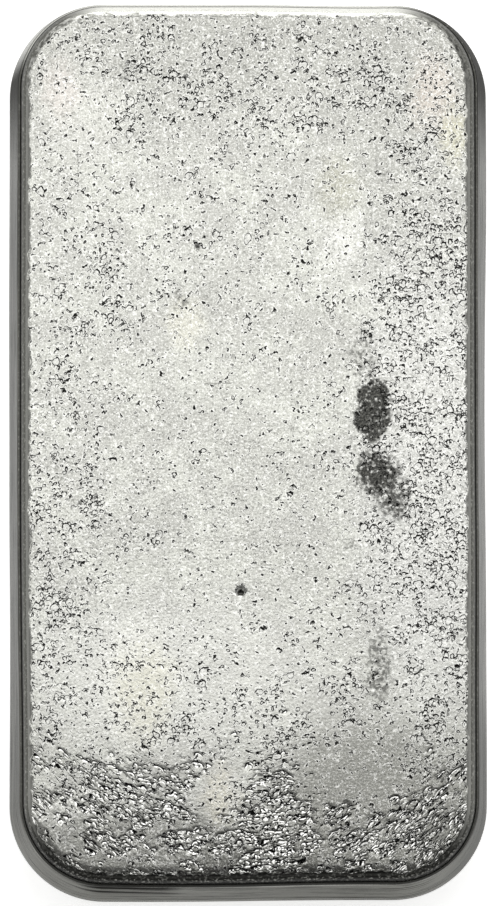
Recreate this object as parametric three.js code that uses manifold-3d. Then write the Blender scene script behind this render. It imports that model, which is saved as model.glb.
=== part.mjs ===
// A one-kilogram cast silver ingot, in millimetres, +Z up.
//
// The metal is poured into an open iron mould and knocked out when it has set. The ingot lies with its fill
// side down, so the face that lay on the mould's floor is up. The walls spread downwards by the mould's
// draft, which is what lets the ingot out. It is one solid piece of metal, so it is one mesh.
//
// Origin: the centre of the footprint, on the surface that the ingot lies on. Length along Y, width along X.

import * as THREE from "three";
import { mergeVertices } from "three/addons/utils/BufferGeometryUtils.js";
import Module from "manifold-3d";

// ---- Driving dimensions -----------------------------------------------------------------------------------

const LENGTH = 105.5; // at the widest level, just above the fill side's round edge
const WIDTH = 56;
const THICKNESS = 17.3;
const CORNER_RADIUS = 11.1; // of the outline, at the widest level

const DRAFT_DEG = 5.5; // slope of the walls from the vertical

const MENISCUS_WIDTH = 1.6; // the fill side's edge, which surface tension rounded before the metal set
const MENISCUS_HEIGHT = 1.4;

const LIP_RADIUS = 1.8; // the mould face's edge, rounded by the fillet of the mould's floor
const FLANK_HEIGHT = 0.8; // the steep band below that round edge, with the same draft as the walls
const CREASE_WIDTH = 0.24; // the fine groove between the flank's foot and the top of the wall
const CREASE_DEPTH = 0.14; // straight down, the way that the mould draws

const REST_RING_WIDTH = 3.2; // the flat ring of the fill side that the ingot lies on
const SINK_DEPTH = 0.45; // how far the middle of the fill side sank as the metal shrank

// The mould was cut by hand and has worn, so the walls wave a little. Each swell is strongest at x, y and
// fades to nothing at `reach` from there. It pushes the wall out by `foot` at the widest level and by `top`
// at the crease and above it. A negative push is a hollow.
const WALL_SWELLS = [
  { x: 28, y: 31, reach: 18, foot: 0.06, top: 0.05 },
  { x: 28, y: 5, reach: 26, foot: -0.16, top: 0.04 },
  { x: 28, y: -16, reach: 20, foot: 0, top: 0.12 },
  { x: 28, y: -37, reach: 18, foot: 0.06, top: 0.09 },
  { x: -28, y: 17, reach: 20, foot: 0.05, top: 0.02 },
  { x: -28, y: -24, reach: 20, foot: -0.11, top: -0.12 },
  { x: -28, y: -43, reach: 24, foot: -0.05, top: -0.34 },
  { x: -13, y: -52.75, reach: 18, foot: 0.09, top: 0.06 },
  { x: 14, y: -52.75, reach: 20, foot: -0.13, top: -0.3 },
  { x: 13, y: 52.75, reach: 13, foot: -0.17, top: -0.15 },
];

// Gas holes that reach the mould face. Each is a blunt cone: place, width at the mouth, depth.
const GAS_HOLES = [
  { x: -0.8, y: -17.4, width: 1.0, depth: 0.6 },
  { x: -5.8, y: 22.8, width: 0.7, depth: 0.35 },
];

// ---- How fine the facets are ------------------------------------------------------------------------------

const CORNER_STEPS = 12; // along each rounded corner of the outline
const SIDE_STEP = 6; // length of each facet along the sides, at most
const LIP_STEPS = 8; // over the mould face's round edge
const MENISCUS_STEPS = 6;
const SINK_STEPS = 8; // from the resting ring to the middle of the fill side
const HOLE_SIDES = 12;

// ---- The section: how far in from the outline each level lies ---------------------------------------------

const slope = Math.tan(THREE.MathUtils.degToRad(DRAFT_DEG));
const wallFootZ = MENISCUS_HEIGHT;
const flankTopZ = THICKNESS - LIP_RADIUS;
const wallTopZ = flankTopZ - FLANK_HEIGHT;
const wallTopInset = (wallTopZ - wallFootZ) * slope;
const flankFootInset = wallTopInset + CREASE_WIDTH;
const flankTopInset = flankFootInset + FLANK_HEIGHT * slope;

/** The round edge of the fill side, from the resting ring out to the widest level. */
function meniscusLevels() {
  const levels = [];
  for (let i = 0; i <= MENISCUS_STEPS; i++) {
    const turn = (i / MENISCUS_STEPS) * (Math.PI / 2);
    levels.push({
      inset: MENISCUS_WIDTH * (1 - Math.sin(turn)),
      z: MENISCUS_HEIGHT * (1 - Math.cos(turn)),
    });
  }
  return levels;
}

/** The V of the crease, from the wall's top to the flank's foot. */
function creaseLevels() {
  return [
    { inset: wallTopInset, z: wallTopZ },
    { inset: wallTopInset + CREASE_WIDTH / 2, z: wallTopZ - CREASE_DEPTH },
    { inset: flankFootInset, z: wallTopZ },
  ];
}

/** The quarter round from the flank's top over to the mould face. */
function lipLevels() {
  const levels = [];
  for (let i = 0; i <= LIP_STEPS; i++) {
    const turn = (i / LIP_STEPS) * (Math.PI / 2);
    levels.push({
      inset: flankTopInset + LIP_RADIUS * (1 - Math.cos(turn)),
      z: flankTopZ + LIP_RADIUS * Math.sin(turn),
    });
  }
  return levels;
}

// ---- The loft ---------------------------------------------------------------------------------------------

/** The spots of an outline, anticlockwise. `from` is a corner's centre or a place between two of them. */
function outlineSpots() {
  const centreX = WIDTH / 2 - CORNER_RADIUS;
  const centreY = LENGTH / 2 - CORNER_RADIUS;
  const centres = [
    new THREE.Vector2(centreX, centreY),
    new THREE.Vector2(-centreX, centreY),
    new THREE.Vector2(-centreX, -centreY),
    new THREE.Vector2(centreX, -centreY),
  ];
  const spots = [];
  centres.forEach((centre, corner) => {
    for (let i = 0; i <= CORNER_STEPS; i++) {
      const turn = (corner + i / CORNER_STEPS) * (Math.PI / 2);
      spots.push({ from: centre, out: new THREE.Vector2(Math.cos(turn), Math.sin(turn)) });
    }
    const next = centres[(corner + 1) % centres.length];
    const steps = Math.ceil(centre.distanceTo(next) / SIDE_STEP);
    const { out } = spots.at(-1);
    for (let i = 1; i < steps; i++) spots.push({ from: centre.clone().lerp(next, i / steps), out });
  });
  return spots;
}

/** How far the swells push out at a place of the outline. `rise` is 0 at the wall's foot and 1 at its top. */
function swell(place, rise) {
  let push = 0;
  for (const { x, y, reach, foot, top } of WALL_SWELLS) {
    const share = Math.min(Math.hypot(place.x - x, place.y - y) / reach, 1);
    push += (THREE.MathUtils.lerp(foot, top, rise) * (1 + Math.cos(Math.PI * share))) / 2;
  }
  return push;
}

const spots = outlineSpots();

/** One level of the ingot: the rounded rectangle that lies `inset` inside the widest outline, at height z. */
function outline({ inset, z }) {
  const rise = THREE.MathUtils.clamp((z - wallFootZ) / (wallTopZ - wallFootZ), 0, 1);
  return spots.map(({ from, out }) => {
    const widest = from.clone().addScaledVector(out, CORNER_RADIUS);
    const { x, y } = widest.addScaledVector(out, swell(widest, rise) - inset);
    return new THREE.Vector3(x, y, z);
  });
}

/** The sunken middle of the fill side, from near its centre out to the inner edge of the resting ring. */
function sinkOutlines() {
  const ringEdge = outline({ inset: MENISCUS_WIDTH + REST_RING_WIDTH, z: 0 });
  const outlines = [];
  for (let i = 1; i <= SINK_STEPS; i++) {
    const share = i / SINK_STEPS;
    const z = (SINK_DEPTH * (1 + Math.cos(Math.PI * share))) / 2;
    outlines.push(ringEdge.map((p) => new THREE.Vector3(p.x * share, p.y * share, z)));
  }
  return outlines;
}

/** A closed surface through a stack of outlines, with a point to close it at each end. */
function loft(firstPole, outlines, lastPole) {
  const around = outlines[0].length;
  const points = [firstPole, ...outlines.flat(), lastPole];
  const last = points.length - 1;
  const at = (level, step) => 1 + level * around + (step % around);
  const triangles = [];
  for (let step = 0; step < around; step++) {
    triangles.push(0, at(0, step + 1), at(0, step));
    for (let level = 0; level + 1 < outlines.length; level++) {
      triangles.push(at(level, step), at(level, step + 1), at(level + 1, step + 1));
      triangles.push(at(level, step), at(level + 1, step + 1), at(level + 1, step));
    }
    triangles.push(last, at(outlines.length - 1, step), at(outlines.length - 1, step + 1));
  }
  return new THREE.BufferGeometry().setFromPoints(points).setIndex(triangles);
}

function castBody() {
  const sides = [...meniscusLevels(), ...creaseLevels(), ...lipLevels()].map(outline);
  return loft(
    new THREE.Vector3(0, 0, SINK_DEPTH),
    [...sinkOutlines(), ...sides],
    new THREE.Vector3(0, 0, THICKNESS),
  );
}

/** The cutter of one gas hole: a cone that narrows by half, standing a little proud of the face. */
function holeCutter({ x, y, width, depth }) {
  const proud = 0.2;
  const mouth = (width / 2) * (1 + proud / (2 * depth));
  const cone = new THREE.CylinderGeometry(mouth, width / 4, depth + proud, HOLE_SIDES);
  cone.rotateX(Math.PI / 2);
  cone.translate(x, y, THICKNESS + (proud - depth) / 2);
  return cone;
}

// ---- Cutting the gas holes --------------------------------------------------------------------------------

const wasm = await Module();
wasm.setup();

/** A closed three.js geometry as a solid that can be cut. */
function toSolid(geometry) {
  const bare = geometry.clone();
  bare.deleteAttribute("normal");
  bare.deleteAttribute("uv");
  const merged = mergeVertices(bare, 1e-4);
  return new wasm.Manifold(
    new wasm.Mesh({
      numProp: 3,
      vertProperties: merged.attributes.position.array,
      triVerts: new Uint32Array(merged.index.array),
    }),
  );
}

function toGeometry(solid) {
  const mesh = solid.getMesh();
  const geometry = new THREE.BufferGeometry();
  geometry.setAttribute("position", new THREE.BufferAttribute(mesh.vertProperties, 3));
  geometry.setIndex(new THREE.BufferAttribute(mesh.triVerts, 1));
  geometry.computeVertexNormals();
  return geometry;
}

function ingotGeometry() {
  let solid = toSolid(castBody());
  for (const hole of GAS_HOLES) solid = solid.subtract(toSolid(holeCutter(hole)));
  return toGeometry(solid);
}

// ---- The ingot --------------------------------------------------------------------------------------------

const castSilver = new THREE.MeshStandardMaterial({
  name: "cast_silver",
  color: 0xd9d8d2,
  metalness: 1,
  roughness: 0.4,
});

const ingot = new THREE.Mesh(ingotGeometry(), castSilver);
ingot.name = "ingot";

const part = new THREE.Group();
part.name = "silver_ingot";
part.add(ingot);

export default part;
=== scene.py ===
"""The looks of a one-kilogram cast silver ingot that lies on its fill side, with its mould face up."""

import math
from types import SimpleNamespace

import bpy
import numpy as np
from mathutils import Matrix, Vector


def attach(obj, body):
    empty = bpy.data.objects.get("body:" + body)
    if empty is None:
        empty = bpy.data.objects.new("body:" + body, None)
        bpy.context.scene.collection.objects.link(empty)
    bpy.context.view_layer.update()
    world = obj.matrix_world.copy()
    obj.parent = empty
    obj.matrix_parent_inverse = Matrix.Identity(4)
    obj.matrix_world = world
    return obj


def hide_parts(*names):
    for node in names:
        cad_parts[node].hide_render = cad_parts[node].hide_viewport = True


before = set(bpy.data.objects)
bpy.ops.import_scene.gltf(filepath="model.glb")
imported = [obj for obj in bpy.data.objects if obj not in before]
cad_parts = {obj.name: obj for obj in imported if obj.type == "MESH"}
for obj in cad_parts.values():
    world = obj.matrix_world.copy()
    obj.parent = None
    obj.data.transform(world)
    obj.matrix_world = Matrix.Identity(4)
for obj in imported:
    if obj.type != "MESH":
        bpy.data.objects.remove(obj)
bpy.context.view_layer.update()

MM = 0.001  # the script's own lengths are in millimetres
TO_MM = (1 / MM, 1 / MM, 1 / MM)

# ---- The ingot's dimensions, as its solid has them ---------------------------------------------------------

LENGTH = 105.5  # at the widest level, just above the fill side's round edge
WIDTH = 56.0
THICKNESS = 17.3
CORNER_RADIUS = 11.1  # of the outline, at the widest level
SLOPE = math.tan(math.radians(5.5))  # of the walls and the flank, from the vertical
MENISCUS_WIDTH = 1.6  # the fill side's edge, which surface tension rounded
MENISCUS_HEIGHT = 1.4
LIP_RADIUS = 1.8  # the mould face's round edge
FLANK_HEIGHT = 0.8  # the steep band below that edge
CREASE_WIDTH = 0.24  # the fine groove between the flank and the wall
CREASE_DEPTH = 0.14
REST_RING_WIDTH = 3.2  # the flat ring of the fill side that the ingot lies on
SINK_DEPTH = 0.45  # how far the middle of the fill side sank

# The slow waves of the hand-cut mould: place, reach, push at the wall's foot, push at its top.
WALL_SWELLS = (
    (28, 31, 18, 0.06, 0.05),
    (28, 5, 26, -0.16, 0.04),
    (28, -16, 20, 0.0, 0.12),
    (28, -37, 18, 0.06, 0.09),
    (-28, 17, 20, 0.05, 0.02),
    (-28, -24, 20, -0.11, -0.12),
    (-28, -43, 24, -0.05, -0.34),
    (-13, -52.75, 18, 0.09, 0.06),
    (14, -52.75, 20, -0.13, -0.3),
    (13, 52.75, 13, -0.17, -0.15),
)

# Gas holes that reach the mould face: place, width at the mouth, depth.
GAS_HOLES = ((-0.8, -17.4, 1.0, 0.6), (-5.8, 22.8, 0.7, 0.35))
HOLE_RADIUS = 0.42  # halfway down, over the width at the mouth
HOLE_SHADE = 0.36  # the radius of the dark in it, over that width

WALL_FOOT_Z = MENISCUS_HEIGHT
FLANK_TOP_Z = THICKNESS - LIP_RADIUS
WALL_TOP_Z = FLANK_TOP_Z - FLANK_HEIGHT
WALL_TOP_INSET = (WALL_TOP_Z - WALL_FOOT_Z) * SLOPE
FLANK_FOOT_INSET = WALL_TOP_INSET + CREASE_WIDTH
FLANK_TOP_INSET = FLANK_FOOT_INSET + FLANK_HEIGHT * SLOPE
FACE_INSET = FLANK_TOP_INSET + LIP_RADIUS

# ---- Nodes ------------------------------------------------------------------------------------------------

SOFT = {"interpolation_type": "SMOOTHSTEP"}  # makes a Map Range a soft step
COLOURS = {"data_type": "RGBA"}  # makes a Mix one of colours


def linear(code):
    """An sRGB hex colour, such as "#c0c0c0", as the linear RGBA that Blender's sockets take."""
    channels = [int(code[i : i + 2], 16) / 255 for i in (1, 3, 5)]
    return [c / 12.92 if c <= 0.04045 else ((c + 0.055) / 1.055) ** 2.4 for c in channels] + [1.0]


def add(tree, kind, *inputs, **settings):
    """Adds a node with its settings and links. Its inputs come in order or, in one dict, by name. Each is a
    constant, a hex colour, a socket, or a node, which stands for its first output that is in use."""
    made = tree.nodes.new(kind if "Node" in kind else "ShaderNode" + kind)
    for name, value in settings.items():
        setattr(made, name, value)
    spots = [spot for spot in made.inputs if spot.enabled]
    if inputs and isinstance(inputs[0], dict):
        spots = [made.inputs[name] for name in inputs[0]]
        inputs = inputs[0].values()
    for spot, value in zip(spots, inputs):
        if isinstance(value, bpy.types.Node):
            value = next(out for out in value.outputs if out.enabled)
        if isinstance(value, bpy.types.NodeSocket):
            tree.links.new(value, spot)
        elif isinstance(value, str) and value.startswith("#"):
            spot.default_value = linear(value)
        else:
            spot.default_value = value
    return made


# ---- Camera, floor and lamps ------------------------------------------------------------------------------

CAMERA_DISTANCE = 1600.0
CAMERA_TILT = math.radians(3.75)
SENSOR_WIDTH = 36.0  # spans the frame's longer side, which is its height
FRAME_HEIGHT = 106.53  # what the frame spans at the floor
AIM_X = 0.27

FLOOR_SIZE = 4000.0
FLOOR_GAP = 0.02  # below the ingot, so that the two never share a plane
FLOOR_GLOW = 0.62  # what lifts the paper to white where it is seen

# The lamps: name, width, depth, place, aim, and how bright a mirror would show it. Seen from above, the mould
# face mirrors the overhead one, and darkens towards -Y, where it mirrors the dim apron. The key stands low
# behind the ingot and gives the glints on the crests of the skin and on the round edges.
SOFTBOXES = (
    ("overhead", 1300, 473, (0, 218, 560), (0, 218, 0), 0.89),
    ("apron", 1300, 44, (0, -40, 560), (0, -40, 0), 0.25),
    ("key", 1000, 640, (120, 900, 500), (0, 0, 0), 1.1),
)
LAMP_POWER = 4.0  # the watts that give a square metre of lamp a radiance of 1

ROOM = 0.38
ROOM_FRONT = 0.15  # towards -Y
ROOM_BACK = 1.0  # towards +Y
ROOM_LOW = 0.5  # below the lamps, all round


def add_camera():
    """Looks down at the mould face from a little in front of it."""
    data = bpy.data.cameras.new("camera")
    data.sensor_width = SENSOR_WIDTH
    data.lens = SENSOR_WIDTH * CAMERA_DISTANCE / FRAME_HEIGHT
    camera = bpy.data.objects.new("camera", data)
    bpy.context.scene.collection.objects.link(camera)
    camera.rotation_euler = (CAMERA_TILT, 0, 0)
    back, up = math.sin(CAMERA_TILT), math.cos(CAMERA_TILT)
    camera.location = Vector((AIM_X, -CAMERA_DISTANCE * back, CAMERA_DISTANCE * up)) * MM
    bpy.context.scene.camera = camera


def add_softbox(name, width, depth, place, aim, radiance):
    """A rectangular lamp at place that faces aim, both in millimetres, and that the camera doesn't see."""
    data = bpy.data.lights.new(name, "AREA")
    data.shape = "RECTANGLE"
    data.size, data.size_y = width * MM, depth * MM
    data.energy = radiance * LAMP_POWER * data.size * data.size_y
    lamp = bpy.data.objects.new(name, data)
    lamp.visible_camera = False
    bpy.context.scene.collection.objects.link(lamp)
    lamp.location = Vector(place) * MM
    lamp.rotation_euler = (Vector(aim) - Vector(place)).to_track_quat("-Z", "Y").to_euler()


def light_world():
    """A grey room, whose brightness changes softly with the way that one looks."""
    world = bpy.data.worlds.new("studio")
    world.use_nodes = True
    tree = world.node_tree
    tree.nodes.clear()
    way = add(tree, "SeparateXYZ", add(tree, "TexCoord").outputs["Generated"])
    front = add(tree, "MapRange", way.outputs["Y"], -0.6, 0.3, ROOM_FRONT, ROOM)
    back = add(tree, "MapRange", way.outputs["Y"], 0.7, 0.95, 0.0, ROOM_BACK - ROOM)
    strength = add(tree, "Math", front, back, operation="ADD")
    low = add(tree, "MapRange", way.outputs["Z"], 0.55, 0.4, 0.0, ROOM_LOW)
    strength = add(tree, "Math", strength, low, operation="MAXIMUM")
    add(tree, "OutputWorld", add(tree, "Background", {"Color": "#ffffff", "Strength": strength}))
    bpy.context.scene.world = world


def pale_paper():
    """Uncoated studio paper, which scatters light evenly and has no shine. It glows to the camera and in
    reflections alone, so that the background is white and the ingot's shadow still shows on it."""
    material = bpy.data.materials.new("pale_paper")
    material.use_nodes = True
    tree = material.node_tree
    tree.nodes.clear()
    rays = add(tree, "LightPath").outputs
    seen = add(tree, "Math", rays["Is Camera Ray"], rays["Is Glossy Ray"], operation="ADD")
    seen = add(tree, "Math", seen, rays["Is Transmission Ray"], operation="ADD", use_clamp=True)
    paper = {
        "Base Color": "#f2f2f0",
        "Roughness": 0.9,
        "Specular IOR Level": 0.0,
        "Emission Color": "#ffffff",
        "Emission Strength": add(tree, "Math", seen, FLOOR_GLOW, operation="MULTIPLY"),
    }
    add(tree, "OutputMaterial", add(tree, "BsdfPrincipled", paper))
    return material


def add_floor():
    """The sheet of paper that the ingot lies on, which isn't part of it."""
    bpy.ops.object.select_all(action="DESELECT")
    bpy.ops.mesh.primitive_plane_add(size=FLOOR_SIZE * MM, location=(0, 0, -FLOOR_GAP * MM))
    floor = bpy.context.object
    floor.name = "floor"
    floor.data.materials.append(pale_paper())


# ---- The casting's mesh -----------------------------------------------------------------------------------

FACE_COLUMNS = 192
FACE_ROWS = 380
FACE_MARGIN = 0.25  # between the face's grid and the round edge, where the mesh gets coarser
ROUGH_ROWS = 0.62  # the gap between rows in the rough end, over the gap in the rest
ROUGH_ROWS_END, OPEN_ROWS_START = 0.25, 0.35  # shares of the face's length, from -Y
ROW_TABLE = 400

RIM_SPACING = 0.65
CORNER_POINTS = 26
LIP_STEPS = 12
WALL_STEPS = 8
MENISCUS_STEPS = 6
SINK_STEPS = 6
SINK_HUB = 0.04  # the innermost ring of the sink, over the outermost


def section_levels():
    """Each ring's inset and height, from the mould face's edge down to the resting ring's inner edge."""
    levels = []
    for i in range(LIP_STEPS, -1, -1):
        turn = i / LIP_STEPS * math.pi / 2
        inset = FLANK_TOP_INSET + LIP_RADIUS * (1 - math.cos(turn))
        levels.append((inset, FLANK_TOP_Z + LIP_RADIUS * math.sin(turn)))
    levels.append((FLANK_FOOT_INSET, WALL_TOP_Z))
    levels.append((FLANK_FOOT_INSET - CREASE_WIDTH / 2, WALL_TOP_Z - CREASE_DEPTH))
    for i in range(WALL_STEPS, 0, -1):
        z = WALL_FOOT_Z + (WALL_TOP_Z - WALL_FOOT_Z) * i / WALL_STEPS
        levels.append(((z - WALL_FOOT_Z) * SLOPE, z))
    for i in range(MENISCUS_STEPS, -1, -1):
        turn = i / MENISCUS_STEPS * math.pi / 2
        levels.append((MENISCUS_WIDTH * (1 - math.sin(turn)), MENISCUS_HEIGHT * (1 - math.cos(turn))))
    levels.append((MENISCUS_WIDTH + REST_RING_WIDTH, 0.0))
    return levels


def outline():
    """Where the rim's points spread from, and which way, anticlockwise from the +Y end of the +X side."""
    core_x, core_y = WIDTH / 2 - CORNER_RADIUS, LENGTH / 2 - CORNER_RADIUS
    centres = np.array([(core_x, core_y), (-core_x, core_y), (-core_x, -core_y), (core_x, -core_y)])
    cores, ways = [], []
    for corner, centre in enumerate(centres):
        for i in range(CORNER_POINTS):
            turn = (corner + i / CORNER_POINTS) * math.pi / 2
            cores.append(centre)
            ways.append((math.cos(turn), math.sin(turn)))
        after = centres[(corner + 1) % len(centres)]
        turn = (corner + 1) * math.pi / 2
        steps = math.ceil(np.hypot(*(after - centre)) / RIM_SPACING)
        for i in range(steps):
            cores.append(centre + (after - centre) * i / steps)
            ways.append((math.cos(turn), math.sin(turn)))
    return np.array(cores), np.array(ways)


def swell(widest, rise):
    """How far the mould's waves push a wall out. `rise` is 0 at the wall's foot and 1 at its top."""
    push = np.zeros(len(widest))
    for x, y, reach, foot, top in WALL_SWELLS:
        share = np.minimum(np.hypot(widest[:, 0] - x, widest[:, 1] - y) / reach, 1)
        push += (foot + (top - foot) * rise) * (1 + np.cos(np.pi * share)) / 2
    return push


def side_path(share, half_along, half_across, radius):
    """A point of one side of a rounded rectangle, from the middle of one corner to the middle of the next."""
    straight = half_along - radius
    travel = (2 * share - 1) * (straight + radius * math.pi / 4)
    bend = np.clip((np.abs(travel) - straight) / radius, 0, None)
    along = np.sign(travel) * (np.minimum(np.abs(travel), straight) + radius * np.sin(bend))
    across = half_across - radius * (1 - np.cos(bend))
    return along, across


def on_rounded_rectangle(s, t, half_x, half_y, radius):
    """Carries the unit square onto a rounded rectangle, its corners onto the middles of the round corners."""
    corner = radius * (1 - math.sqrt(0.5))
    along_x, across_y = side_path(s, half_x, half_y, radius)
    along_y, across_x = side_path(t, half_y, half_x, radius)
    x = along_x + (2 * s - 1) * (across_x - (half_x - corner))
    y = along_y + (2 * t - 1) * (across_y - (half_y - corner))
    return x, y


def coordinates(mesh):
    """The mesh's points, as rows of x, y and z in metres."""
    co = np.empty(len(mesh.vertices) * 3)
    mesh.vertices.foreach_get("co", co)
    return co.reshape(-1, 3)


def place_points(mesh, x, y, z):
    """Moves the mesh's points to x, y and z, in millimetres."""
    mesh.vertices.foreach_set("co", (np.stack([x, y, z], 1) * MM).ravel())
    mesh.update()


def add_attribute(mesh, name, values):
    """Gives each point of the mesh a value, which the skin's relief and the finish read."""
    mesh.attributes.new(name, "FLOAT", "POINT").data.foreach_set("value", values.astype(np.float32))


def row_places(t):
    """Moves the face's rows together where the metal froze rough. The face's ends stay at 0 and 1."""
    at = np.linspace(0, 1, ROW_TABLE + 1)
    gap = np.interp(at, (ROUGH_ROWS_END, OPEN_ROWS_START), (ROUGH_ROWS, 1))
    travelled = np.concatenate([[0], np.cumsum(gap[1:] + gap[:-1])])
    return np.interp(t, at, travelled / travelled[-1])


def add_face():
    """The mould face: a grid inside the round edge, which follows the mould's waves."""
    bpy.ops.object.select_all(action="DESELECT")
    bpy.ops.mesh.primitive_grid_add(x_subdivisions=FACE_COLUMNS, y_subdivisions=FACE_ROWS, size=1.0)
    face = bpy.context.object
    face.name = "ingot_casting"
    co = coordinates(face.data)
    s, t = co[:, 0] + 0.5, row_places(co[:, 1] + 0.5)
    inset = FACE_INSET + FACE_MARGIN
    x, y = on_rounded_rectangle(s, t, WIDTH / 2 - inset, LENGTH / 2 - inset, CORNER_RADIUS - inset)
    core_x, core_y = WIDTH / 2 - CORNER_RADIUS, LENGTH / 2 - CORNER_RADIUS
    off = np.stack([x - np.clip(x, -core_x, core_x), y - np.clip(y, -core_y, core_y)], 1)
    far = np.hypot(off[:, 0], off[:, 1])
    way = off / np.maximum(far, 1e-9)[:, None]
    widest = np.stack([x, y], 1) - off + way * CORNER_RADIUS
    pushed = far + swell(widest, 1.0) * far / (CORNER_RADIUS - inset)
    x, y = (np.stack([x, y], 1) - off + way * pushed[:, None]).T
    place_points(face.data, x, y, np.full(len(co), THICKNESS))
    add_attribute(face.data, "inset", CORNER_RADIUS - far)
    add_attribute(face.data, "crease", np.zeros(len(co)))
    return face


def add_tube(around, rings):
    """An upright tube of quads, open at the top and closed at the bottom, one long and one in radius."""
    bpy.ops.object.select_all(action="DESELECT")
    bpy.ops.mesh.primitive_circle_add(vertices=around, radius=1.0, fill_type="NOTHING")
    tube = bpy.context.object
    mesh = tube.data
    bpy.ops.object.mode_set(mode="EDIT")
    bpy.ops.mesh.select_mode(type="EDGE")
    bpy.ops.mesh.select_all(action="SELECT")
    bpy.ops.mesh.extrude_edges_move(TRANSFORM_OT_translate={"value": (0, 0, -1)})
    bpy.ops.mesh.edge_face_add()
    bpy.ops.object.mode_set(mode="OBJECT")
    z = coordinates(mesh)[:, 2]
    ends = np.empty(len(mesh.edges) * 2, int)
    mesh.edges.foreach_get("vertices", ends)
    ends = ends.reshape(-1, 2)
    upright = z[ends[:, 0]] != z[ends[:, 1]]
    mesh.polygons.foreach_set("select", np.zeros(len(mesh.polygons), bool))
    mesh.vertices.foreach_set("select", np.zeros(len(mesh.vertices), bool))
    mesh.edges.foreach_set("select", upright)
    bpy.ops.object.mode_set(mode="EDIT")
    bpy.ops.mesh.subdivide(number_cuts=rings - 1)
    bpy.ops.object.mode_set(mode="OBJECT")
    return tube


def add_rim():
    """The round edge, flank, crease, walls and fill side, as rings that hang from one another."""
    cores, ways = outline()
    levels = section_levels()
    rings = len(levels) - 1 + SINK_STEPS
    rim = add_tube(len(cores), rings)
    co = coordinates(rim.data)
    turn = np.arctan2(co[:, 1], co[:, 0]) - math.atan2(co[0, 1], co[0, 0])
    spot = np.rint(turn / (2 * np.pi) * len(cores)).astype(int) % len(cores)
    ring = np.rint(-co[:, 2] * rings).astype(int)
    level = np.minimum(ring, len(levels) - 1)
    inset = np.array([inset for inset, _ in levels])[level]
    height = np.array([height for _, height in levels])[level]
    rise = np.clip((height - WALL_FOOT_Z) / (WALL_TOP_Z - WALL_FOOT_Z), 0, 1)
    widest = cores[spot] + ways[spot] * CORNER_RADIUS
    x, y = (widest + ways[spot] * (swell(widest, rise) - inset)[:, None]).T
    sunk = ring >= len(levels)
    share = np.clip(1 - (ring - len(levels) + 1) / SINK_STEPS, SINK_HUB, 1)
    z = np.where(sunk, SINK_DEPTH * (1 + np.cos(np.pi * share)) / 2, height)
    place_points(rim.data, np.where(sunk, x * share, x), np.where(sunk, y * share, y), z)
    add_attribute(rim.data, "inset", inset)
    crease = {LIP_STEPS + 1: 0.5, LIP_STEPS + 2: 1.0, LIP_STEPS + 3: 0.5}  # its edges and its bottom
    add_attribute(rim.data, "crease", np.array([crease.get(i, 0.0) for i in ring]))
    return rim


def add_casting():
    """The whole casting: the mould face, bridged to its rim, as one closed mesh."""
    apart = 10 * MM  # keeps the two loops from lying in one plane, where a bridge can't tell their turns
    rim = add_rim()
    rim.location.z = -apart
    casting = add_face()
    first = len(casting.data.vertices)
    bpy.ops.object.select_all(action="DESELECT")
    rim.select_set(True)
    casting.select_set(True)
    bpy.context.view_layer.objects.active = casting
    bpy.ops.object.join()
    bpy.ops.object.mode_set(mode="EDIT")
    bpy.ops.mesh.select_mode(type="EDGE")
    bpy.ops.mesh.select_all(action="DESELECT")
    bpy.ops.mesh.select_non_manifold()
    bpy.ops.mesh.bridge_edge_loops()
    bpy.ops.mesh.select_all(action="SELECT")
    bpy.ops.mesh.normals_make_consistent(inside=False)
    bpy.ops.object.mode_set(mode="OBJECT")
    co = coordinates(casting.data)
    co[first:, 2] += apart
    casting.data.vertices.foreach_set("co", co.ravel())
    casting.data.update()
    bpy.ops.object.shade_smooth()
    return casting


# ---- The cast skin: patterns that the mesh and the finish share -------------------------------------------

SEED_STEP = (17.3, -9.1, 4.7)  # how far apart the clouds of neighbouring seeds are read
CELL_STEP = (1.7, 2.3, 0.0)  # the same for the cells of craters

SKIN_INSET = 2.62  # where the cast skin starts on the round edge
SKIN_RAGGED = 1.2  # how much that line wanders
STEEP_SIDE = (0.0, 1.0, 0.0)  # the way to the steep side of a pit
FRONT_BOW = 0.018  # how the front along which the metal froze bowed: its y over the square of x
ALONG_FRONT = 0.7  # how much the scooped pits are drawn out along that front

# The scooped pits of the rough end: width of a cell, seed, depth. The mesh holds the first two sizes.
SCOOPS = ((1.0, 60, 0.15), (0.55, 61, 0.11))
FINE_SCOOPS = (0.36, 62, 0.08)
SCOOP_RADIUS = 0.75  # the widest, over its cell

# Where the metal froze rough, from the first y to the second, and where it did so more thinly.
ROUGH_END = (-28.0, -43.0)
SPARSE_END = (-10.0, -30.0)
SPARSE = 0.25

# Places of the face: strength, x, y, half its width, half its length, softness of its edge.
ROUGH_SPOTS = (
    (0.9, 3.5, -43.0, 4.5, 6.0, 0.4),
    (0.8, -12.0, -41.0, 9.0, 4.0, 0.5),
    (0.8, 19.5, -45.0, 4.5, 3.0, 0.5),
)
CALM_SPOTS = (
    (0.9, 13.5, -37.5, 6.5, 4.5, 0.5),
    (0.9, -21.3, -45.8, 2.0, 1.6, 0.5),
    (0.9, -3.4, -40.0, 1.8, 3.0, 0.5),
    (0.8, -9.0, -33.0, 7.0, 3.0, 0.5),
)
PITTED_SPOTS = (
    (0.9, 22.0, 6.0, 8.0, 40.0, 0.3),
    (0.5, -22.5, -8.0, 5.5, 26.0, 0.4),
    (0.6, 8.0, 41.0, 18.0, 7.0, 0.5),
    (0.6, -13.0, 44.0, 7.0, 6.0, 0.5),
    (0.5, -20.0, 20.0, 5.0, 12.0, 0.5),
    (0.35, -2.0, -29.0, 24.0, 6.0, 0.5),
)
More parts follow.
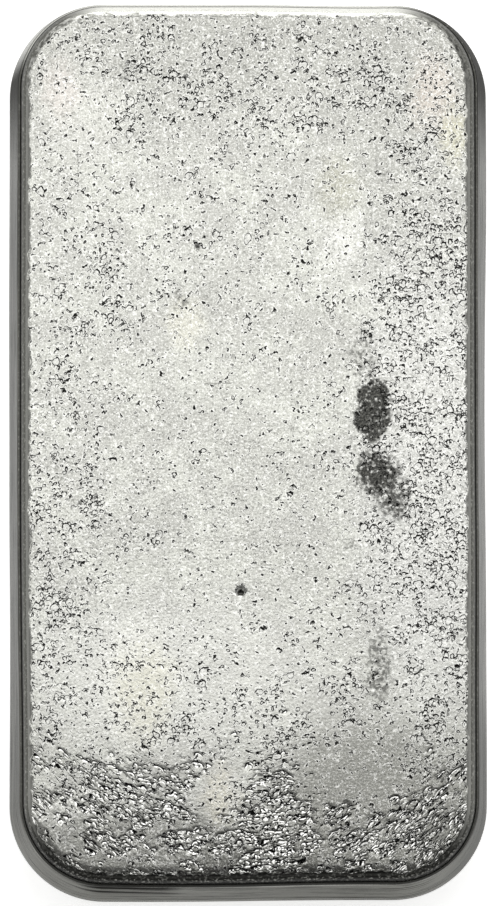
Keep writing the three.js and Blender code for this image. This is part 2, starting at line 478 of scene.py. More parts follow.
SMOOTH_SPOTS = (
    (0.8, -3.0, -6.0, 8.0, 22.0, 0.5),
    (0.7, 10.0, 30.0, 5.0, 7.0, 0.5),
    (0.75, -19.0, 38.9, 3.0, 4.5, 0.5),
)
# Tarnish, which is stippled: the metal shows through in specks.
TARNISHED_SPOTS = (
    (1.0, 14.6, 3.8, 2.2, 4.0, 0.25),
    (0.9, 15.0, -3.4, 2.8, 2.8, 0.45),
    (0.75, 17.0, -6.4, 2.4, 3.2, 0.5),
    (0.55, 13.6, 10.0, 2.0, 4.0, 0.6),
    (0.3, 15.0, -1.0, 4.6, 10.0, 0.5),
    (0.64, 15.2, -26.0, 1.8, 5.2, 0.6),
    (0.5, -7.7, 16.9, 0.8, 2.2, 0.5),
    (0.4, 11.9, -11.3, 1.0, 1.0, 0.5),
    (0.35, -14.0, 43.0, 2.0, 2.2, 0.5),
    (0.3, 16.0, 30.5, 1.3, 2.4, 0.6),
)
# Stains and lighter places, with their colour first. The dark greys at the front end, near y -38 to -54, are
# painted shade that darkens the face towards its front, and the pale one at -9, -27 is painted light that
# draws the bright part of the face further forward.
TINTS = (
    ("#c8c8c4", 0.7, 21.0, -4.0, 8.0, 26.0, 0.4),
    ("#dcdcd6", 0.3, 0.0, -44.0, 30.0, 6.0, 0.3),
    # painted shade: darker towards the front end
    ("#8c8c86", 0.8, 0.0, -54.0, 32.0, 8.0, 0.4),
    ("#a4a49e", 0.75, 0.0, 51.0, 40.0, 13.0, 0.6),
    ("#a6a6a0", 0.7, 20.0, 40.0, 8.0, 18.0, 0.5),
    # painted shade: darker towards the front end
    ("#7e7e78", 0.8, 16.0, -44.0, 13.0, 11.0, 0.4),
    # painted shade: darker towards the front end
    ("#82827d", 0.75, -12.0, -48.0, 16.0, 6.0, 0.4),
    ("#dadad2", 0.4, -18.9, 38.9, 4.0, 5.5, 0.6),
    # painted light: carries the bright part of the face further forward
    ("#d8d8d2", 0.5, -9.0, -27.0, 17.0, 9.0, 0.5),
    ("#e8e8e2", 0.5, 10.9, 23.6, 2.2, 2.6, 0.7),
    ("#e6e6de", 0.6, -13.1, -27.6, 4.0, 6.0, 0.6),
    ("#aaa998", 0.6, 10.6, 30.0, 2.1, 3.4, 0.6),
    ("#cccab8", 0.6, -12.0, -29.0, 3.2, 5.0, 0.6),
    ("#d8d6c6", 0.5, -7.3, 13.8, 1.8, 3.0, 0.6),
    ("#d4d0c0", 0.6, -3.2, -40.9, 1.8, 3.0, 0.5),
    ("#dcd2cc", 0.4, -21.8, 41.3, 2.0, 3.0, 0.6),
    ("#d0c4b8", 0.5, 21.6, 41.0, 2.4, 4.0, 0.6),
    ("#ccc8aa", 0.5, 24.0, 36.0, 1.6, 3.0, 0.6),
    ("#b4b4ae", 0.5, -17.8, 2.7, 2.5, 3.0, 0.6),
    # painted shade: darker towards the front end
    ("#94948e", 0.5, 12.5, -38.5, 6.0, 5.0, 0.6),
    # painted shade: darker along the front edge
    ("#50504c", 0.7, 1.0, -49.5, 8.0, 2.5, 0.5),
)


def cloud(tree, place, size, seed, detail=0.0, stretch=(1, 1, 1)):
    """Cloudy noise around 0.5 whose blobs are about `size` millimetres across, longer along `stretch`."""
    at = add(tree, "VectorMath", place, [seed * step for step in SEED_STEP], operation="ADD")
    at = add(tree, "VectorMath", at, [1 / (size * longer) for longer in stretch], operation="MULTIPLY")
    return add(tree, "TexNoise", {"Vector": at, "Scale": 1.0, "Detail": detail})


def wandering(tree, place, size, amount, seed):
    """The place, led astray by a cloud, so that outlines on it are ragged."""
    off = cloud(tree, place, size, seed, detail=1.0).outputs["Color"]
    off = add(tree, "VectorMath", off, (0.5, 0.5, 0.5), operation="SUBTRACT")
    off = add(tree, "VectorMath", off, (amount, amount, amount), operation="MULTIPLY")
    return add(tree, "VectorMath", place, off, operation="ADD")


def band(tree, value, rise, fall):
    """A soft band: up by 1 over the two values of `rise`, and down by 1 over the first two of `fall`, or by
    as much as its other two say."""
    inner = add(tree, "MapRange", value, *rise, **SOFT)
    outer = add(tree, "MapRange", value, *fall, **SOFT)
    return add(tree, "Math", inner, outer, operation="SUBTRACT")


def patch(tree, place, x, y, half_x, half_y, soft):
    """1 inside an ellipse of the face, fading to 0 over its edge."""
    at = add(tree, "VectorMath", place, (x, y, THICKNESS), operation="SUBTRACT")
    at = add(tree, "VectorMath", at, (1 / half_x, 1 / half_y, 0), operation="MULTIPLY")
    out = add(tree, "VectorMath", at, operation="LENGTH").outputs["Value"]
    return add(tree, "MapRange", out, 1 + soft, 1 - soft, **SOFT)


def patches(tree, place, spots):
    """The strongest of several patches, each given with its strength first."""
    most = None
    for strength, *spot in spots:
        one = add(tree, "Math", patch(tree, place, *spot), strength, operation="MULTIPLY")
        most = one if most is None else add(tree, "Math", most, one, operation="MAXIMUM")
    return most


def rough_share(tree, place):
    """How rough the metal froze, from 0 to 1: at the end towards -Y, but for some calm places."""
    loose = wandering(tree, place, size=4.0, amount=9.0, seed=3)
    y = add(tree, "SeparateXYZ", loose).outputs["Y"]
    broken = cloud(tree, place, size=2.4, seed=4, detail=2.0)
    broken = add(tree, "MapRange", broken, 0.42, 0.52, 0.1, 1.0, **SOFT)
    share = add(tree, "MapRange", y, *ROUGH_END, **SOFT)
    share = add(tree, "Math", share, broken, operation="MULTIPLY")
    share = add(tree, "Math", share, patches(tree, loose, ROUGH_SPOTS), operation="MAXIMUM")
    sparse = add(tree, "MapRange", y, *SPARSE_END, 0.0, SPARSE, **SOFT)
    sparse = add(tree, "Math", sparse, broken, operation="MULTIPLY")
    share = add(tree, "Math", share, sparse, operation="MAXIMUM")
    rest = add(tree, "Math", 1.0, patches(tree, loose, CALM_SPOTS), operation="SUBTRACT")
    return add(tree, "Math", share, rest, operation="MULTIPLY")


def pitting(tree, place):
    """How densely the mould face is pitted by gas, from 0 to 1."""
    loose = wandering(tree, place, size=3.0, amount=5.0, seed=8)
    wide = cloud(tree, place, size=4.5, seed=2, detail=2.0)
    wide = add(tree, "MapRange", wide, 0.40, 0.66, 0.0, 0.6, **SOFT)
    dense = add(tree, "Math", patches(tree, loose, PITTED_SPOTS), wide, operation="ADD")
    rest = add(tree, "Math", 1.0, patches(tree, loose, SMOOTH_SPOTS), operation="SUBTRACT")
    return add(tree, "Math", dense, rest, operation="MULTIPLY", use_clamp=True)


def silver_tone(tree, place):
    """The silver's slow clouds of tone and its stains, with painted shade at the front end and painted light
    in one place before it, as a colour.
    """
    tone = add(tree, "MapRange", cloud(tree, place, size=5.0, seed=31, detail=3.0), 0.35, 0.65, **SOFT)
    silver = add(tree, "Mix", tone, "#b6b6b0", "#c8c9c1", **COLOURS)
    satin = cloud(tree, place, size=1.6, seed=35, detail=2.0)
    satin = add(tree, "MapRange", satin, 0.38, 0.64, 0.0, 0.5, **SOFT)
    silver = add(tree, "Mix", satin, silver, "#b0b0aa", **COLOURS)
    loose = wandering(tree, place, size=2.0, amount=3.0, seed=32)
    for tint, strength, *spot in TINTS:
        share = add(tree, "Math", patch(tree, loose, *spot), strength, operation="MULTIPLY")
        silver = add(tree, "Mix", share, silver, tint, **COLOURS)
    return silver


def craters(tree, place, size, seed, share, widest):
    """Pits, one at most to a cell `size` across, in about `share` of the cells and up to `widest` cells in
    radius. Gives how far inside a pit a place is, in millimetres, and how near its steep side, as a share."""
    at = add(tree, "VectorMath", place, [seed * step for step in CELL_STEP], operation="ADD")
    cell = {"Vector": at, "Scale": 1 / size}
    cell = add(tree, "TexVoronoi", cell, feature="F1", voronoi_dimensions="2D")
    chance = add(tree, "SeparateXYZ", cell.outputs["Color"]).outputs["X"]
    radius = add(tree, "Math", share, 1.0, operation="SUBTRACT")
    radius = add(tree, "Math", chance, radius, operation="ADD")
    radius = add(tree, "Math", radius, 0.9, operation="MULTIPLY")
    radius = add(tree, "Math", radius, widest, operation="MINIMUM")
    off = add(tree, "VectorMath", at, cell.outputs["Position"], operation="SUBTRACT")
    off = add(tree, "VectorMath", off, STEEP_SIDE, operation="DOT_PRODUCT").outputs["Value"]
    across = add(tree, "Math", radius, 2 * size, operation="MULTIPLY")
    lean = add(tree, "Math", off, across, operation="DIVIDE")
    lean = add(tree, "Math", lean, 0.5, operation="ADD", use_clamp=True)
    inside = add(tree, "Math", radius, cell.outputs["Distance"], operation="SUBTRACT")
    return add(tree, "Math", inside, size, operation="MULTIPLY"), lean


def scooped(tree, inside, lean, soft):
    """How deep the metal is scooped out, from 0 to 1: at once at the steep side, slowly at the other."""
    deep = add(tree, "MapRange", inside, 0.0, soft, **SOFT)
    lean = add(tree, "Math", lean, 2.0, operation="POWER")
    lean = add(tree, "Math", lean, 0.9, 0.1, operation="MULTIPLY_ADD")
    return add(tree, "Math", deep, lean, operation="MULTIPLY")


def folded(tree, place):
    """The place along and across the bowed front, led astray as the scooped pits' outlines are."""
    split = add(tree, "SeparateXYZ", place)
    x, y = split.outputs["X"], split.outputs["Y"]
    bow = add(tree, "Math", x, x, operation="MULTIPLY")
    across = add(tree, "Math", bow, -FRONT_BOW, y, operation="MULTIPLY_ADD")
    along = add(tree, "Math", x, ALONG_FRONT, operation="MULTIPLY")
    flat = add(tree, "CombineXYZ", along, across, 0.0)
    return wandering(tree, flat, size=0.9, amount=0.9, seed=9)


def relief(tree, place, inset, rough):
    """How deep the scooped pits and the gas holes sink the mesh, in millimetres. The walls have none."""
    deep = 0.0
    for size, seed, depth in SCOOPS:
        inside, lean = craters(tree, folded(tree, place), size, seed, rough, SCOOP_RADIUS)
        deep = add(tree, "Math", scooped(tree, inside, lean, 0.18), depth, deep, operation="MULTIPLY_ADD")
    for x, y, width, depth in GAS_HOLES:
        radius = width * HOLE_RADIUS
        hole = patch(tree, place, x, y, radius, radius, 0.15)
        deep = add(tree, "Math", hole, depth, deep, operation="MULTIPLY_ADD")
    on_skin = add(tree, "MapRange", inset, SKIN_INSET, FACE_INSET, **SOFT)
    deep = add(tree, "Math", deep, on_skin, operation="MULTIPLY")
    z = add(tree, "SeparateXYZ", place).outputs["Z"]
    on_top = add(tree, "MapRange", z, WALL_TOP_Z, FLANK_TOP_Z, **SOFT)
    return add(tree, "Math", deep, on_top, operation="MULTIPLY")


def relieve(casting):
    """Sinks the coarse part of the cast skin's relief into the mesh, and keeps its masks as attributes."""
    tree = bpy.data.node_groups.new("cast_skin", "GeometryNodeTree")
    tree.interface.new_socket("Geometry", in_out="INPUT", socket_type="NodeSocketGeometry")
    tree.interface.new_socket("Geometry", in_out="OUTPUT", socket_type="NodeSocketGeometry")
    source = add(tree, "NodeGroupInput")
    place = add(tree, "GeometryNodeInputPosition")
    place = add(tree, "VectorMath", place, TO_MM, operation="MULTIPLY")
    inset = add(tree, "GeometryNodeInputNamedAttribute", "inset", data_type="FLOAT")
    rough = rough_share(tree, place)
    down = add(tree, "Math", relief(tree, place, inset, rough), -MM, operation="MULTIPLY")
    offset = add(tree, "CombineXYZ", 0.0, 0.0, down)
    skin = add(tree, "GeometryNodeSetPosition", {"Geometry": source, "Offset": offset})
    clumps = cloud(tree, place, size=2.6, seed=42, detail=2.0)
    tarnish = wandering(tree, place, size=1.2, amount=2.0, seed=33)
    masks = (
        ("rough", "FLOAT", rough),
        ("pitting", "FLOAT", pitting(tree, place)),
        ("clumps", "FLOAT", add(tree, "MapRange", clumps, 0.42, 0.6, 0.15, 1.3, **SOFT)),
        ("tarnish", "FLOAT", patches(tree, tarnish, TARNISHED_SPOTS)),
        ("tone", "FLOAT_COLOR", silver_tone(tree, place)),
    )
    for name, kind, value in masks:
        stored = {"Geometry": skin, "Name": name, "Value": value}
        skin = add(tree, "GeometryNodeStoreNamedAttribute", stored, data_type=kind, domain="POINT")
    add(tree, "NodeGroupOutput", skin)
    casting.modifiers.new("cast_skin", "NODES").node_group = tree
    bpy.ops.object.modifier_apply(modifier="cast_skin")


# ---- The finish -------------------------------------------------------------------------------------------

ROUGHNESS = 0.16  # of the silver between the grains, which the bump draws

# Gas pits: width of a cell, seed, the widest pit's radius over its cell.
GAS_PITS = ((1.7, 45, 0.3), (0.9, 40, 0.34), (0.6, 41, 0.32))
# Faint pits, drawn only as strokes of painted shade.
FAINT_PITS = (0.62, 44, 0.5, 0.28)  # width of a cell, seed, share of the cells, widest radius over the cell
PIT_DEPTH = 0.06
LAP_STEP = 0.04
SCOOP_BUMP = 0.95  # how much of a scooped pit's depth the bump adds to the mesh

# Where the skin starts on the round edge, it ends in a low ridge.
RIDGE_FOOT, RIDGE_TOP, RIDGE_END = SKIN_INSET - 0.1, SKIN_INSET + 0.06, SKIN_INSET + 0.2
RIDGE_HEIGHT = 0.03

# The satin's grain is about 0.02 mm across, too fine to show, so it is drawn at 0.33 mm. The glints and shade
# of its facets are painted as bright and dark specks at 0.2 and 0.26 mm: width, seed, where in their cloud
# they are full, colour.
GRAIN = 0.33
GRAIN_HEIGHT = 0.014  # in the rough end
CALM_GRAIN_HEIGHT = 0.012  # what comes on top of that in the rest
GLINT_AND_SHADE_SPECKS = ((0.2, 27, 0.66, "#fafaf4"), (0.26, 28, 0.68, "#888882"))

# Heights on the flank and the round edge, in pairs. Over each pair one finish goes over into the next, and
# over the first the painted light at the flank's front foot goes over into the painted shade above it.
FOOT_LIGHT_ENDS = (FLANK_TOP_Z - 0.8, FLANK_TOP_Z - 0.6)
FLANK_ENDS = (FLANK_TOP_Z + 1.27, FLANK_TOP_Z + 1.32)
FILM_ENDS = (FLANK_TOP_Z + 0.9, FLANK_TOP_Z + 0.4)

# Scratches: x, y, half the width, half the length.
SCRATCHES = ((-19.8, 33.0, 0.07, 1.5), (-3.2, 7.0, 2.0, 0.06), (-25.0, -35.2, 1.6, 0.07))
SOOTY_SPOT = (-13.6, -52.0, 5.5, 3.5, 0.4)  # of the front wall: x, y, half its width and length, softness


def zones_of(tree):
    """Where a point of the casting is: its place in millimetres, its masks and its share in each zone."""
    here = SimpleNamespace()
    place = add(tree, "TexCoord").outputs["Object"]
    here.place = add(tree, "VectorMath", place, TO_MM, operation="MULTIPLY")
    here.ragged = wandering(tree, here.place, size=0.5, amount=0.5, seed=5)
    here.x, here.y, here.z = add(tree, "SeparateXYZ", here.place).outputs
    here.across = add(tree, "Math", here.x, operation="ABSOLUTE")
    for name in ("inset", "crease", "rough", "pitting", "clumps", "tarnish"):
        setattr(here, name, add(tree, "Attribute", attribute_name=name).outputs["Fac"])

    # Upwards: the fill side, the walls, the skin, and the ridge where the skin starts.
    here.under = add(tree, "MapRange", here.z, MENISCUS_HEIGHT, 0.5 * MENISCUS_HEIGHT, **SOFT)
    here.walls = add(tree, "MapRange", here.z, WALL_TOP_Z - 0.3, WALL_TOP_Z, 1.0, 0.0, **SOFT)
    above = add(tree, "Math", 1.0, here.walls, operation="SUBTRACT")
    here.wander = cloud(tree, here.place, size=1.5, seed=21, detail=2.5)
    edge = add(tree, "Math", here.inset, SKIN_RAGGED / 2, operation="SUBTRACT")
    edge = add(tree, "Math", here.wander, SKIN_RAGGED, edge, operation="MULTIPLY_ADD")
    skin = add(tree, "MapRange", edge, RIDGE_FOOT, RIDGE_TOP, **SOFT)
    here.skin = add(tree, "Math", skin, above, operation="MULTIPLY")
    inner = add(tree, "MapRange", edge, RIDGE_TOP, RIDGE_END, **SOFT)
    inner = add(tree, "Math", inner, above, operation="MULTIPLY")
    here.ridge = add(tree, "Math", here.skin, inner, operation="SUBTRACT")

    # Along it: all but the rough end, and the front.
    here.calm = add(tree, "MapRange", here.y, -30.0, -10.0, **SOFT)
    here.front = add(tree, "MapRange", here.y, -41.0, -48.0, **SOFT)

    # Across it: the left side and the two sides. At its back: the middle, both corners, and the left corner.
    here.left = add(tree, "MapRange", here.x, 0.0, -10.0, **SOFT)
    here.aside = add(tree, "MapRange", here.across, 14.0, 20.0, **SOFT)
    middle = add(tree, "MapRange", here.across, 22.0, 16.0, **SOFT)
    back = add(tree, "MapRange", here.y, 42.0, 48.0, **SOFT)
    here.back = add(tree, "Math", middle, back, operation="MULTIPLY")
    corners = add(tree, "MapRange", here.across, 16.0, 22.0, **SOFT)
    back = add(tree, "MapRange", here.y, 38.0, 46.0, **SOFT)
    here.back_corners = add(tree, "Math", corners, back, operation="MULTIPLY")
    back = add(tree, "MapRange", here.y, 43.0, 47.0, **SOFT)
    corner = add(tree, "Math", here.left, back, operation="MULTIPLY")
    here.left_corner = add(tree, "Math", here.aside, corner, operation="MULTIPLY")
    return here


def gas_pits(tree, here):
    """How far inside a gas pit a place is, in millimetres, and painted shade: dark strokes at the pits' steep
    sides, which face away from the lamps.
    """
    # The smallest have no shape of their own: a cloud rises over a bar, which is lower where pits are dense.
    bar = add(tree, "Math", here.pitting, -0.1, 0.7, operation="MULTIPLY_ADD")
    field = cloud(tree, here.ragged, size=0.5, seed=22, detail=0.6)
    field = add(tree, "Math", field, bar, operation="SUBTRACT")
    share = add(tree, "Math", here.pitting, 0.5, 0.15, operation="MULTIPLY_ADD")
    share = add(tree, "Math", here.clumps, share, operation="MULTIPLY")
    shade_strokes = 0.0
    for size, seed, widest in GAS_PITS:
        inside, lean = craters(tree, here.ragged, size, seed, share, widest)
        field = add(tree, "Math", field, inside, operation="MAXIMUM")
        shade_stroke = band(tree, inside, (-0.05, -0.01), (0.08, 0.13))
        leaning = add(tree, "MapRange", lean, 0.4, 0.62, **SOFT)
        shade_stroke = add(tree, "Math", shade_stroke, leaning, operation="MULTIPLY")
        shade_strokes = add(tree, "Math", shade_stroke, shade_strokes, operation="MAXIMUM")
    # Painted shade: faint strokes at the steep sides of small pits, away from the rough end.
    inside, lean = craters(tree, here.ragged, *FAINT_PITS)
    faint_shade = band(tree, inside, (-0.05, 0.0), (0.05, 0.1))
    leaning = add(tree, "MapRange", lean, 0.2, 0.6, 0.15, 0.45, **SOFT)
    faint_shade = add(tree, "Math", faint_shade, leaning, operation="MULTIPLY")
    faint_shade = add(tree, "Math", faint_shade, here.calm, operation="MULTIPLY")
    return field, add(tree, "Math", shade_strokes, faint_shade, operation="MAXIMUM")


def rough_end(tree, here):
    """How deep the rough end is sunk, in millimetres, its painted shade and its painted highlights: dark
    lines at the scooped pits' steep sides and along the cold laps, and bright crests beside them. The scooped
    pits lie on the ones that the mesh holds, and sharpen them."""
    folds = folded(tree, here.place)
    sunk = crevice_shade = crest_glints = 0.0
    for size, seed, depth in (*SCOOPS, FINE_SCOOPS):
        inside, lean = craters(tree, folds, size, seed, here.rough, SCOOP_RADIUS)
        deep = scooped(tree, inside, lean, 0.1)
        sunk = add(tree, "Math", deep, depth * SCOOP_BUMP, sunk, operation="MULTIPLY_ADD")
        leaning = add(tree, "MapRange", lean, 0.4, 0.65, **SOFT)
        shade_line = band(tree, inside, (-0.04, 0.0), (0.09, 0.14))
        shade_line = add(tree, "Math", shade_line, leaning, operation="MULTIPLY")
        crevice_shade = add(tree, "Math", shade_line, crevice_shade, operation="MAXIMUM")
        crest_glint = band(tree, inside, (0.1, 0.14), (0.2, 0.3))
        crest_glint = add(tree, "Math", crest_glint, leaning, operation="MULTIPLY")
        crest_glints = add(tree, "Math", crest_glint, crest_glints, operation="MAXIMUM")

    # Cold laps: steps that run along the front, where one skin of metal froze over another, each with a
    # painted dark line as its shade.
    laps = cloud(tree, folds, size=0.75, seed=63, detail=1.5, stretch=(2.2, 1.0, 1.0))
    frozen = add(tree, "MapRange", here.rough, 0.55, 1.0, **SOFT)
    step = add(tree, "MapRange", laps, 0.475, 0.525, **SOFT)
    step = add(tree, "Math", step, frozen, operation="MULTIPLY")
    sunk = add(tree, "Math", step, LAP_STEP, sunk, operation="MULTIPLY_ADD")
    lap_shade = add(tree, "Math", laps, 0.5, operation="SUBTRACT")
    lap_shade = add(tree, "Math", lap_shade, operation="ABSOLUTE")
    lap_shade = add(tree, "MapRange", lap_shade, 0.022, 0.006, 0.0, 0.6, **SOFT)
    lap_shade = add(tree, "Math", lap_shade, frozen, operation="MULTIPLY")
    return sunk, add(tree, "Math", crevice_shade, lap_shade, operation="MAXIMUM"), crest_glints


def skin_height(tree, here, pit, sunk):
    """The bump's height, in metres."""
    sunk = add(tree, "Math", pit, PIT_DEPTH, sunk, operation="MULTIPLY_ADD")
    sunk = add(tree, "Math", sunk, here.skin, operation="MULTIPLY")
    grain = cloud(tree, here.place, GRAIN, seed=26, detail=2.0)
    height = add(tree, "Math", here.calm, CALM_GRAIN_HEIGHT, GRAIN_HEIGHT, operation="MULTIPLY_ADD")
    grain = add(tree, "Math", grain, height, operation="MULTIPLY")
    satin = add(tree, "Math", here.skin, here.under, operation="MAXIMUM")
    satin = add(tree, "MapRange", satin, 0.0, 1.0, 0.2, 1.0, **SOFT)
    grain = add(tree, "Math", grain, satin, operation="MULTIPLY")
    height = add(tree, "Math", grain, sunk, operation="SUBTRACT")
    height = add(tree, "Math", here.ridge, RIDGE_HEIGHT, height, operation="MULTIPLY_ADD")
    return add(tree, "Math", height, MM, operation="MULTIPLY")


def skin_silver(tree, here, field, pit, crest_glints):
    """The silver of the cast skin: its tone, painted glints and dark specks for the grain's facets, a darker
    grey in the rough end that is partly painted shade, painted highlights on crests, in pits and round them,
    and the tarnish.
    """
    silver = add(tree, "Attribute", attribute_name="tone").outputs["Color"]
    strength = add(tree, "Math", here.calm, 0.2, 0.3, operation="MULTIPLY_ADD")
    # Painted glints and dark specks of shade for the grain's facets.
    for size, seed, full, tint in GLINT_AND_SHADE_SPECKS:
        glint_and_shade_specks = cloud(tree, here.place, size, seed, detail=1.0)
        glint_and_shade_specks = add(tree, "MapRange", glint_and_shade_specks, 0.5, full, **SOFT)
        glint_and_shade_specks = add(tree, "Math", strength, glint_and_shade_specks, operation="MULTIPLY")
        silver = add(tree, "Mix", glint_and_shade_specks, silver, tint, **COLOURS)
    # Darker grey where the metal froze rough: partly its frosted finish, partly painted shade of the face's
    # front end.
    rough_frost_and_shade = add(tree, "MapRange", here.rough, 0.3, 1.0, 0.0, 0.55, **SOFT)
    silver = add(tree, "Mix", rough_frost_and_shade, silver, "#666662", **COLOURS)
    # Painted highlight on the crests of the rough end.
    silver = add(tree, "Mix", crest_glints, silver, "#fcfcf8", **COLOURS)
    # Painted light on the floors of the gas pits.
    pit_light = add(tree, "Math", pit, 0.3, operation="MULTIPLY")
    silver = add(tree, "Mix", pit_light, silver, "#fafaf6", **COLOURS)
    # Painted highlight: a bright ring just outside each gas pit.
    rim_glint = band(tree, field, (-0.11, -0.05), (-0.03, 0.0))
    rim_glint = add(tree, "Math", rim_glint, 0.5, operation="MULTIPLY")
    silver = add(tree, "Mix", rim_glint, silver, "#fcfcf8", **COLOURS)

    # Tarnish: a black film, which is thinner in flecks and leaves the metal bare in others.
    stipple = cloud(tree, here.place, size=0.42, seed=34, detail=4.0)
    bar = add(tree, "Math", here.tarnish, -0.45, 0.75, operation="MULTIPLY_ADD")
    stipple = add(tree, "Math", stipple, bar, operation="SUBTRACT")
    stipple = add(tree, "MapRange", stipple, -0.12, 0.16, **SOFT)
    cover = add(tree, "MapRange", here.tarnish, 0.3, 0.9, 0.5, 0.95, **SOFT)
    cover = add(tree, "Math", stipple, cover, operation="MULTIPLY")
    film = cloud(tree, here.place, size=0.24, seed=36, detail=2.0)
    film = add(tree, "MapRange", film, 0.44, 0.66, **SOFT)
    film = add(tree, "Mix", film, "#1c1c1a", "#50504b", **COLOURS)
    return add(tree, "Mix", cover, silver, film, **COLOURS)


def edge_silver(tree, here):
    """The round edge and the flank below it, with the light that falls on them painted in: painted light at
    the back, painted shade, black, at the front, and grey at the sides.
    """
    # At the front, the flank is painted black as shade, with a ragged grey line along its foot that is
    # painted light.
    low = add(tree, "Math", here.wander, -1.0, here.z, operation="MULTIPLY_ADD")
    foot_light_and_shade = add(tree, "MapRange", low, *FOOT_LIGHT_ENDS, **SOFT)
    foot_light_and_shade = add(tree, "Mix", foot_light_and_shade, "#787874", "#181816", **COLOURS)
    flank = add(tree, "Mix", here.front, "#52524e", foot_light_and_shade, **COLOURS)
    # Painted light at the back of the flank and the round edge, and painted shade on the front of the round
    # edge.
    flank = add(tree, "Mix", here.back, flank, "#d8d8d2", **COLOURS)
    lip = add(tree, "Mix", here.back, "#b2b2ac", "#e6e7df", **COLOURS)
    lip = add(tree, "Mix", here.front, lip, "#3a3a37", **COLOURS)
    # Painted reflections: light and dark arcs run round the back corners.
    reflection_arcs = cloud(tree, here.place, size=0.6, seed=38, detail=2.0, stretch=(1.0, 1.0, 0.4))
    reflection_arcs = add(tree, "MapRange", reflection_arcs, 0.42, 0.58, **SOFT)
    dark_reflection_arcs = add(tree, "Mix", here.left, "#5c5c58", "#868680", **COLOURS)
    bright_reflection_arcs = add(tree, "Mix", here.left, "#a0a09a", "#dcdcd6", **COLOURS)
    reflection_arcs = add(tree, "Mix", reflection_arcs, dark_reflection_arcs, bright_reflection_arcs, **COLOURS)
    lip = add(tree, "Mix", here.back_corners, lip, reflection_arcs, **COLOURS)
    edge = add(tree, "MapRange", here.z, *FLANK_ENDS, **SOFT)
    edge = add(tree, "Mix", edge, flank, lip, **COLOURS)
    scuffs = cloud(tree, here.place, size=0.3, seed=37, detail=2.0)
    scuffs = add(tree, "MapRange", scuffs, 0.5, 0.72, 0.0, 0.4, **SOFT)
    return add(tree, "Mix", scuffs, edge, "#a6a6a0", **COLOURS)


def pit_shade_lines(tree, here, field, shade_strokes):
    """Painted shade: the dark line round a gas pit, broken here and there, and the dark strokes at the steep
    sides.
    """
    shade_line = band(tree, field, (-0.03, 0.01), (0.06, 0.11, 0.0, 0.9))
    broken = cloud(tree, here.place, size=0.5, seed=43)
    broken = add(tree, "MapRange", broken, 0.46, 0.56, 0.05, 1.0, **SOFT)
    shade_line = add(tree, "Math", shade_line, broken, operation="MULTIPLY")
    shade_line = add(tree, "Math", shade_line, shade_strokes, operation="MAXIMUM")
    return add(tree, "Math", shade_line, here.skin, operation="MULTIPLY")


def wall_soot(tree, here, streaks):
    """How thickly the mould's soot lies on the walls, from 0 to 1: a little all round, more in level lines,
    round the back corners and at the front of the right wall, and most in one spot of the front wall."""
    level = cloud(tree, here.place, size=1.0, seed=51, detail=4.0, stretch=(8.0, 8.0, 0.45))
    level = add(tree, "MapRange", level, 0.54, 0.66, 0.0, 0.6, **SOFT)
    soot = add(tree, "MapRange", here.y, 30.0, 44.0, **SOFT)
    soot = add(tree, "Math", soot, here.aside, operation="MULTIPLY")
    kept = add(tree, "Math", here.left_corner, -0.7, 0.85, operation="MULTIPLY_ADD")
    soot = add(tree, "Math", soot, kept, operation="MULTIPLY")
    soot = add(tree, "Math", level, soot, operation="MAXIMUM")
    soot = add(tree, "Math", soot, 0.12, operation="MAXIMUM")
    right = add(tree, "MapRange", here.x, 20.0, 27.0, **SOFT)
    front = add(tree, "MapRange", here.y, -22.0, -38.0, 0.0, 0.4, **SOFT)
    front = add(tree, "Math", right, front, operation="MULTIPLY")
    soot = add(tree, "Math", soot, front, operation="MAXIMUM")
    spot = add(tree, "MapRange", here.z, 5.5, 8.5, **SOFT)
    spot = add(tree, "Math", patch(tree, here.ragged, *SOOTY_SPOT), spot, operation="MULTIPLY")
    streaked = add(tree, "MapRange", streaks, 0.6, 0.45, 0.3, 0.95, **SOFT)
    spot = add(tree, "Math", spot, streaked, operation="MULTIPLY")
    return add(tree, "Math", soot, spot, operation="MAXIMUM")


def wall_silver(tree, here, streaks, soot):
    """The walls, which are streaked silver under soot, and the fill side, which is plain."""
    wall = add(tree, "MapRange", streaks, 0.38, 0.62, **SOFT)
    wall = add(tree, "Mix", wall, "#60605d", "#8e8e8a", **COLOURS)
    # The walls are lighter at the front end and at the left back corner.
    lighter_front = add(tree, "Math", here.front, 0.6, operation="MULTIPLY")
    wall = add(tree, "Mix", lighter_front, wall, "#b4b4b0", **COLOURS)
    wall = add(tree, "Mix", here.left_corner, wall, "#b0b0aa", **COLOURS)
    wall = add(tree, "Mix", soot, wall, "#282826", **COLOURS)
    return add(tree, "Mix", here.under, wall, "#b4b4ae", **COLOURS)


def marked(tree, here, colour):
    """The colour, with the scratches and painted shade in the mouths of the gas holes."""
    for scratch in SCRATCHES:
        cut = add(tree, "Math", patch(tree, here.ragged, *scratch, 0.5), 0.55, operation="MULTIPLY")
        colour = add(tree, "Mix", cut, colour, "#4c4c48", **COLOURS)
    for x, y, width, depth in GAS_HOLES:
        # Painted shade in the mouths of the gas holes.
        radius = width * HOLE_SHADE
        hole = patch(tree, here.place, x, y, radius, radius, 0.25)
        hole = add(tree, "Math", hole, 1.5 * depth, operation="MULTIPLY")
        colour = add(tree, "Mix", hole, colour, "#2c2c29", **COLOURS)
    return colour


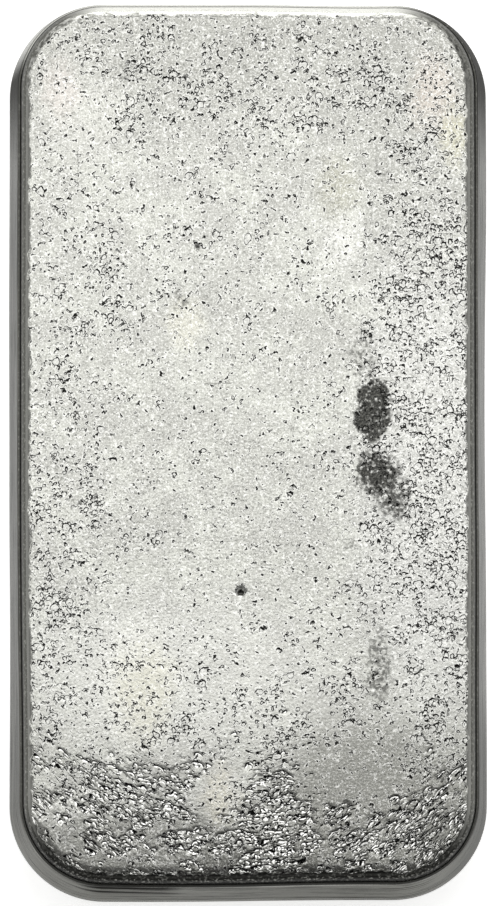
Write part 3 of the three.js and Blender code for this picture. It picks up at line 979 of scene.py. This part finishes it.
def cast_silver():
    """Cast silver: fine silver poured into an open iron mould and left as it came out.

    Silver is the palest of metals, and the mould leaves it satin: it shows the room as soft light and dark,
    and glints hard only on crests and round edges. Much of that light and dark is also painted into its
    colour:
    glints and dark specks on the grain, highlights on crests, in gas pits and round them, dark lines at the
    pits' steep sides and in crevices, shade in the crease and at the front end, and light and reflections on
    the round edge. Gas has left round pits in it, 0.3 to 1 mm across. The end that froze first is all scoops
    of 0.3 to 1 mm, with cold laps among them, where one skin of metal set on another. Sulphur in the air has
    tarnished it black in spots. The walls have level streaks, about 1 mm high and 20 mm long, which the metal
    left as it rose in the mould, and soot, with which the mould was dressed.
    """
    material = bpy.data.materials.new("cast_silver")
    material.use_nodes = True
    tree = material.node_tree
    tree.nodes.clear()
    here = zones_of(tree)
    field, shade_strokes = gas_pits(tree, here)
    sunk, crevice_shade, crest_glints = rough_end(tree, here)
    pit = add(tree, "MapRange", field, 0.0, 0.12, **SOFT)
    streaks = cloud(tree, here.place, size=1.0, seed=50, detail=4.0, stretch=(20.0, 20.0, 1.0))
    soot = wall_soot(tree, here, streaks)

    silver = skin_silver(tree, here, field, pit, crest_glints)
    colour = add(tree, "Mix", here.skin, edge_silver(tree, here), silver, **COLOURS)
    # Painted shade round the gas pits and at their steep sides.
    colour = add(tree, "Mix", pit_shade_lines(tree, here, field, shade_strokes), colour, "#222220", **COLOURS)
    # Painted shade in the crevices and along the cold laps of the rough end.
    crevice_shade = add(tree, "Math", crevice_shade, here.skin, operation="MULTIPLY")
    colour = marked(tree, here, add(tree, "Mix", crevice_shade, colour, "#10100f", **COLOURS))
    wall = wall_silver(tree, here, streaks, soot)
    colour = add(tree, "Mix", here.walls, colour, wall, **COLOURS)
    # Painted shade in the crease, painted lighter as light at the back and at the left back corner.
    lit_crease = add(tree, "Math", here.back, here.left_corner, operation="MAXIMUM")
    crease_shade = add(tree, "Mix", lit_crease, "#3a3a36", "#c4c4be", **COLOURS)
    crease_shade_share = add(tree, "Math", here.crease, 4.0, operation="POWER")
    colour = add(tree, "Mix", crease_shade_share, colour, crease_shade, **COLOURS)

    # Soot is no metal and has no gloss. It lies on the walls alone.
    sooty = add(tree, "Math", here.walls, here.under, operation="SUBTRACT")
    sooty = add(tree, "Math", soot, sooty, operation="MULTIPLY")
    metallic = add(tree, "Math", 1.0, sooty, operation="SUBTRACT")

    # Seen along its surface, clean metal is a white mirror. The film on the walls, the flank and the groove
    # dulls that, and this tint is the colour that it leaves.
    filmed = add(tree, "MapRange", here.z, *FILM_ENDS, 0.0, 0.8, **SOFT)
    filmed = add(tree, "Math", here.crease, filmed, operation="MAXIMUM")
    glare = add(tree, "Mix", filmed, "#ffffff", "#808080", **COLOURS)
    glare = add(tree, "Mix", here.walls, glare, wall, **COLOURS)

    height = skin_height(tree, here, pit, sunk)
    finish = {
        "Base Color": colour,
        "Metallic": metallic,
        "Roughness": ROUGHNESS,
        "Specular IOR Level": 0.0,
        "Specular Tint": glare,
        "Normal": add(tree, "Bump", {"Strength": 1.0, "Distance": 1.0, "Height": height}),
    }
    add(tree, "OutputMaterial", add(tree, "BsdfPrincipled", finish))
    return material


# ---- The scene --------------------------------------------------------------------------------------------

bpy.context.scene.view_settings.view_transform = "Standard"
add_camera()
add_floor()
light_world()
for softbox in SOFTBOXES:
    add_softbox(*softbox)

casting = add_casting()
relieve(casting)
casting.data.materials.append(cast_silver())

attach(casting, "root")
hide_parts("ingot")
